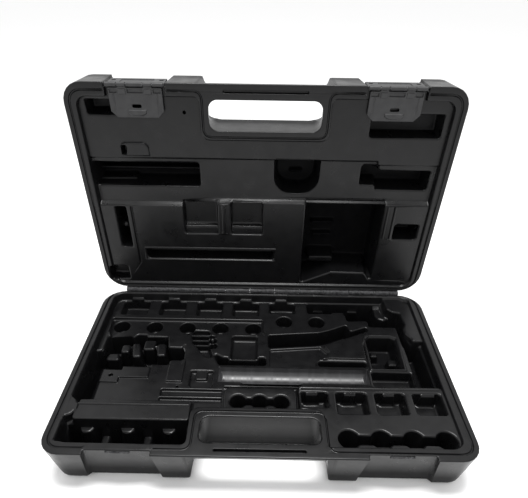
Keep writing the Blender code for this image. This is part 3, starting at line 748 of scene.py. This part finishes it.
GRAIN_SCALE, GRAIN_DEPTH = 900.0, 0.00016
PAINTED_SHADE_FALL = 0.020            # Metres of depth over which the inner plastic's specular level fades: painted shade in the deep pockets.


def grained_plastic(name, dark, light, rough):
    """Blow-moulded polyethylene with the fine leather grain of the mould's outer faces."""
    nodes = Nodes(name)
    cell_inputs = {"Vector": nodes.place, "Scale": GRAIN_SCALE / 2.6}
    cells = nodes.add("ShaderNodeTexVoronoi", cell_inputs).outputs["Distance"]
    fine = nodes.noise(GRAIN_SCALE, 3.0, 0.6)
    broad = nodes.noise(38.0, 3.0)
    normal = nodes.bump(broad, 0.06, 0.0010)
    normal = nodes.bump(cells, 0.45, GRAIN_DEPTH, normal)
    normal = nodes.bump(fine, 0.35, GRAIN_DEPTH * 0.7, normal)
    nodes.set("Normal", normal)
    leather = nodes.remap(nodes.noise(GRAIN_SCALE * 0.45, 3.0, 0.7), 0.0, 1.0, 0.38, 0.62)
    nodes.set("Base Color", nodes.blend_colours(leather, dark, light))
    nodes.set("Roughness", nodes.remap(broad, *rough))
    nodes.set("Specular IOR Level", 0.27)
    return nodes.material


def smooth_plastic(name, dark, light, rough=(0.26, 0.36), gloss_and_painted_shade=(0.36, 0.36), depth_from=None):
    """The inner face of a blow moulding: satin and slightly wavy.

    With depth_from, an axis, the rim's place on it and the way in, the specular level falls with
    depth over a set distance: painted shade that darkens the deep pockets.
    """
    nodes = Nodes(name)
    broad = nodes.noise(26.0, 3.0, 0.55)
    middle = nodes.noise(150.0, 2.0)
    fine = nodes.noise(1700.0, 2.0)
    normal = nodes.bump(broad, 0.08, 0.0015)
    normal = nodes.bump(fine, 0.08, 0.00004, normal)
    nodes.set("Normal", normal)
    nodes.set("Base Color", nodes.blend_colours(nodes.remap(middle, 0.0, 1.0), dark, light))
    nodes.set("Roughness", nodes.remap(nodes.noise(70.0, 3.0), *rough))
    # Painted shade: the reflection weakens with depth so that the deep pockets render dark.
    if depth_from:
        axis, start, direction = depth_from
        along = nodes.add("ShaderNodeSeparateXYZ", {"Vector": nodes.place}).outputs[axis]
        stop = start + direction * PAINTED_SHADE_FALL
        nodes.set("Specular IOR Level", nodes.remap(along, *gloss_and_painted_shade, start, stop))
    else:
        nodes.set("Specular IOR Level", gloss_and_painted_shade[0])
    return nodes.material


def painted_sheen_plastic(name, dark, light):
    """The handle's trough, in a lighter and glossier plastic with fine streaks across its length: a
    painted highlight along the trough.
    """
    nodes = Nodes(name)
    streaks = nodes.streaks((260.0, 14.0, 14.0))
    nodes.set("Normal", nodes.bump(streaks, 0.15, 0.0002))
    nodes.set("Base Color", nodes.blend_colours(nodes.remap(streaks, 0.0, 1.0), dark, light))
    nodes.set("Roughness", nodes.remap(streaks, 0.36, 0.52))
    nodes.set("Specular IOR Level", 0.8)
    return nodes.material


def drawn_steel(name):
    """Bright wire, with the fine lines that drawing leaves along it."""
    nodes = Nodes(name)
    streaks = nodes.streaks((40.0, 3000.0, 3000.0))
    nodes.set("Normal", nodes.bump(streaks, 0.2, 0.00003))
    nodes.set("Base Color", nodes.blend_colours(streaks, (0.45, 0.45, 0.46), (0.68, 0.68, 0.70)))
    nodes.set("Roughness", nodes.remap(streaks, 0.22, 0.4))
    nodes.set("Metallic", 1.0)
    return nodes.material


def floor_paper(name):
    """The studio's white paper."""
    nodes = Nodes(name)
    fine = nodes.noise(900.0, 2.0)
    dark, light = (0.95, 0.95, 0.95), (0.97, 0.97, 0.97)
    nodes.set("Base Color", nodes.blend_colours(nodes.remap(fine, 0.0, 1.0), dark, light))
    nodes.set("Roughness", nodes.remap(nodes.noise(40.0), 0.75, 0.85))
    nodes.set("Normal", nodes.bump(fine, 0.05, 0.0001))
    return nodes.material


OUTER_PLASTIC = grained_plastic("outer_plastic", (0.005, 0.005, 0.006), (0.048, 0.048, 0.050),
                                rough=(0.42, 0.54))
INNER_DARK, INNER_LIGHT = (0.003, 0.003, 0.0033), (0.0048, 0.0048, 0.0052)
# Both inner plastics paint shade into their deep pockets by weakening their reflection with depth.
BASE_PLASTIC = smooth_plastic("base_inner_plastic", INNER_DARK, INNER_LIGHT, gloss_and_painted_shade=(0.30, 0.08),
                              depth_from=(2, 0.036, -1.0))
LID_PLASTIC = smooth_plastic("lid_inner_plastic", INNER_DARK, INNER_LIGHT, gloss_and_painted_shade=(0.28, 0.03),
                             depth_from=(1, 0.137, 1.0))
# Lighter and glossier than the rest of the inner plastic: a painted highlight in the trough.
TROUGH_PAINTED_SHEEN = painted_sheen_plastic("trough_painted_sheen", (0.010, 0.010, 0.011), (0.024, 0.024, 0.026))
LATCH_PLASTIC = smooth_plastic("latch_plastic", (0.020, 0.020, 0.021), (0.030, 0.030, 0.031),
                               rough=(0.38, 0.48))
STEEL = drawn_steel("steel_wire")


def build_half(name, place, features, outer_features, fall, body, material, *nodes):
    """One half of the case as a closed mesh. fall is how steeply its outer wall leans in."""
    inside = skin(features, InnerEdge())
    outside = skin(outer_features, OuterEdge(fall), hole_haste=2.6)
    mesh = finished_mesh(name, closed_shape(place, inside, outside))
    item = new_piece(name, mesh, body, "case_plastic", material, *nodes)
    mesh.materials.append(OUTER_PLASTIC)
    weigh_normals(item)
    return mesh


base_mesh = build_half("base_moulding", as_base, BASE_INSIDE, OUTSIDE, 7.2, "base", BASE_PLASTIC,
                       "base_shell", "base_tray")
base_mesh.materials.append(TROUGH_PAINTED_SHEEN)

# The faces inside the round handle's trough take a lighter, glossier plastic: a painted highlight
# along the trough.
sheen_low, sheen_high = as_base(-46.2, 145.2, 23.0), as_base(116.7, 123.4, 11.4)
for face in base_mesh.polygons:
    within = all(low < x < high for low, x, high in zip(sheen_low, face.center, sheen_high))
    if within and face.material_index == 0:
        face.material_index = 2

build_half("lid_moulding", as_lid, LID_INSIDE, OUTSIDE + LATCH_NOTCHES, 18.0, "lid", LID_PLASTIC,
           "lid_shell", "lid_liner")


# The hinge's knuckles and the catches. A profile's points are (y, z) from the hinge axis.

def about_hinge(across, y, z):
    """A place on the base, from the hinge's axis."""
    return Vector((across, CASE_DEPTH / 2.0 + HINGE_GAP + y, HALF_HEIGHT + z)) * MM


def about_open_hinge(across, y, z):
    """A place on the upright lid, from a profile drawn with the lid closed."""
    return about_hinge(across, z, -y)


def arc(radius, first, last, steps):
    """Places on an arc about the hinge's axis, from one angle to another in degrees."""
    turns = [math.radians(first + (last - first) * step / steps) for step in range(steps + 1)]
    return [(radius * math.cos(turn), radius * math.sin(turn)) for turn in turns]


BASE_KNUCKLE = [(-5.5, -0.9), (-3.4, -0.9), *arc(3.2, 180.0, 90.0, 8), (8.6, 3.65), (9.0, 3.25),
                (9.0, 1.0), (4.0, -7.0), (-5.5, -9.0)]
LID_KNUCKLE = [(-5.5, 0.9), (-3.4, 0.9), *arc(3.2, 180.0, 450.0, 26), (-3.7, 6.0), (-5.5, 7.0)]
KNUCKLE_COUNT, KNUCKLE_PITCH, KNUCKLE_GAP = 11, 32.0, 0.2


def knuckles(name, place, profile, first, body):
    """Every second knuckle of the hinge, from the first."""
    shape = bmesh.new()
    for index in range(first, KNUCKLE_COUNT, 2):
        left = (index - KNUCKLE_COUNT / 2.0) * KNUCKLE_PITCH
        add_bar(shape, place, profile, left + KNUCKLE_GAP, left + KNUCKLE_PITCH - KNUCKLE_GAP)
    item = new_piece(name, finished_mesh(name, shape), body, "case_plastic", OUTER_PLASTIC)
    weigh_normals(item, 35.0)


CATCH_HALF = 11.0
CATCH = [(-(HINGE_GAP + out), z) for out, z in
         ((237.0, -2.0), (238.6, -2.0), (239.2, -2.7), (239.2, -3.6), (238.3, -5.0), (237.0, -5.0))]


def catches():
    """The ridges on the base's front wall that the latches hook under."""
    shape = bmesh.new()
    for middle in (-LATCH_ACROSS, LATCH_ACROSS):
        add_bar(shape, about_hinge, CATCH, middle - CATCH_HALF, middle + CATCH_HALF)
    mesh = finished_mesh("catches", shape)
    item = new_piece("catches", mesh, "base", "case_plastic", OUTER_PLASTIC)
    weigh_normals(item, 35.0)


knuckles("base_knuckles", about_hinge, BASE_KNUCKLE, 0, "base")
knuckles("lid_knuckles", about_open_hinge, LID_KNUCKLE, 1, "lid")
catches()


# The latches. Across is measured from a latch's middle.

PIN_OUT, PIN_DEEP, BARREL_RADIUS, PIN_BORE = 240.5, 2.8, 2.2, 1.2
BRACKET_KNUCKLES = ((-28.5, -17.4), (-8.1, 8.1), (17.4, 28.5))
STRAPS = ((-17.0, -8.5), (8.5, 17.0))


def bracket_outline():
    """The bracket's outline, as (across, deep), with gaps for the plate's barrels."""
    half, edge, gap = 28.5, PIN_DEEP, 5.6
    (_, left), (inner, outer), _ = BRACKET_KNUCKLES
    points = [(-half, 27.0), (-half, edge), (left, edge), (left, gap), (inner, gap), (inner, edge),
              (outer, edge), (outer, gap), (-left, gap), (-left, edge), (half, edge), (half, 27.0)]
    return points, [1.2] + [0.3] * 10 + [1.2]


def plate_outline():
    """The plate's outline, as (across, below the pin), with its straps reaching up to the pin."""
    half, edge, strap = 26.5, 2.8, 1.7
    (left, inner), _ = STRAPS
    points = [(left, edge), (left, strap), (inner, strap), (inner, edge), (-inner, edge),
              (-inner, strap), (-left, strap), (-left, edge), (half, edge), (half, 24.5),
              (20.5, 30.5), (-20.5, 30.5), (-half, 24.5), (-half, edge)]
    return points, [0.3] * 8 + [1.0] * 6


BRACKET_DENTS = [
    *[Cut(box(left, left + 4.0, back, back + 3.8), 1.6, start=0.0, corner=0.3, top=0.25, foot=0.2)
      for left in (-25.8, 21.8) for back in (8.2, 17.4)],
    Cut(box(-16.5, 16.5, 9.0, 23.5), 0.7, start=0.0, corner=1.5, top=0.3, foot=0.3, fall=2.0),
]

# The plate's front has a finger ridge, two grooves, its straps and the windows between them.
PLATE_SLOT = (box(-4.6, 4.6, 18.0, 21.4), [1.3] * 4)
PLATE_FRONT = [
    Raise([(-9.5, 23.4), (9.5, 23.4), (8.5, 26.4), (5, 28.2), (-5, 28.2), (-8.5, 26.4)], -2.3,
          start=-1.0, corner=[0.8, 0.8, 3, 6, 6, 3], top=0.7, foot=0.3, fall=1.3),
    *[Line([(across, 6.0), (across, 22.0)], 0.8, 0.5) for across in (-21.5, 21.5)],
    *[Raise(box(left + 0.8, right - 0.8, 3.9, 8.5), -1.9, start=-1.0, corner=0.5, top=0.5,
            foot=0.3, fall=3.0) for left, right in STRAPS],
    *[Cut(box(left, right, 4.0, 7.6), 0.6, start=-1.0, corner=0.5, top=0.3, foot=0.3, fall=4.0)
      for left, right in ((-25.2, -17.8), (-7.6, 7.6), (17.8, 25.2))],
]
PLATE_HOOK = [Cut(box(-11, 11, 8.4, 11), 1.85, start=1.0, corner=0.4, top=0.15, foot=0.3, fall=3.0)]


def latch(side, name):
    """The bracket on the lid's front wall, and the plate that turns on its pin."""
    middle = side * LATCH_ACROSS

    def about_pin(across, out, deep):
        return as_lid(middle + across, PIN_OUT + out, PIN_DEEP + deep)

    def on_bracket(across, deep, sunk):
        return about_pin(across, 0.4 - sunk, deep - PIN_DEEP)

    def on_plate(across, below, deep):
        return about_pin(across, -below, deep)

    def piece(part, body, shape, barrels):
        for left, right in barrels:
            add_tube(shape, about_pin, BARREL_RADIUS, PIN_BORE, left, right)
        mesh = finished_mesh(f"{part}_{name}", shape)
        made = new_piece(f"{part}_{name}", mesh, body, "latch_plastic", LATCH_PLASTIC,
                         f"latch_{part}_{name}")
        weigh_normals(made, 40.0)

    plan = bracket_outline()
    front = skin(BRACKET_DENTS, PlateFace(1.35, 1.35, -1.0), plan, None)
    back = skin([], PlateFace(1.35, 1.35, 1.0), plan, None)
    piece("bracket", "lid", closed_shape(on_bracket, front, back), BRACKET_KNUCKLES)

    plan = plate_outline()
    front = skin(PLATE_FRONT, PlateFace(0.0, 1.0, -1.0), plan, PLATE_SLOT)
    back = skin(PLATE_HOOK, PlateFace(0.0, 1.0, 1.0), plan, PLATE_SLOT)
    piece("plate", f"latch_{name}", closed_shape(on_plate, front, back), STRAPS)


latch(-1.0, "left")
latch(1.0, "right")

# The rods and pins keep their CAD shapes.
for node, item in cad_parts.items():
    if "rod" in node or "pin" in node:
        for slot in item.material_slots:
            slot.material = STEEL


# Stage.

def stage_floor():
    """A plain pale floor under the case."""
    mesh = bpy.data.meshes.new("floor")
    reach = 6.0    # Metres, so that its edge isn't in view.
    corners = [(x, y, 0.0) for x, y in box(-reach, reach, -reach, reach)]
    mesh.from_pydata(corners, [], [(0, 1, 2, 3)])
    item = bpy.data.objects.new("floor", mesh)
    bpy.context.scene.collection.objects.link(item)
    mesh.materials.append(floor_paper("floor_paper"))


def area_light(name, location, target, size, power):
    """A soft rectangular light, in metres and watts, that faces its target."""
    data = bpy.data.lights.new(name, "AREA")
    data.shape = "RECTANGLE"
    data.size, data.size_y = size
    data.energy = power
    item = bpy.data.objects.new(name, data)
    item.location = location
    item.rotation_euler = (Vector(target) - Vector(location)).to_track_quat("-Z", "Y").to_euler()
    bpy.context.scene.collection.objects.link(item)


def camera():
    """The photo's viewpoint: a compromise, because the photo's case is slightly twisted."""
    data = bpy.data.cameras.new("camera")
    data.sensor_width = 36.0
    data.lens = 30.87
    data.shift_x, data.shift_y = 0.0089, 0.1202
    item = bpy.data.objects.new("camera", data)
    item.location = (-0.00083, -0.34948, 0.40168)
    turn = Euler((0.0, 0.0, math.radians(0.315))).to_matrix()
    pitch = Euler((math.radians(90.0 - 39.25), 0.0, 0.0)).to_matrix()
    roll = Euler((0.0, 0.0, math.radians(0.796))).to_matrix()
    item.rotation_euler = (turn @ pitch @ roll).to_euler()
    bpy.context.scene.collection.objects.link(item)
    bpy.context.scene.camera = item


def world_light():
    """Even white light from all round."""
    world = bpy.data.worlds.new("studio")
    world.use_nodes = True
    shader = world.node_tree.nodes["Background"]
    shader.inputs["Color"].default_value = (1.0, 1.0, 1.0, 1.0)
    shader.inputs["Strength"].default_value = 1.0
    bpy.context.scene.world = world


stage_floor()
world_light()
area_light("top_light", location=(0.0, 0.05, 1.5), target=(0.0, 0.05, 0.0), size=(0.6, 0.34),
           power=25.0)
bpy.context.scene.view_settings.view_transform = "Standard"
camera()
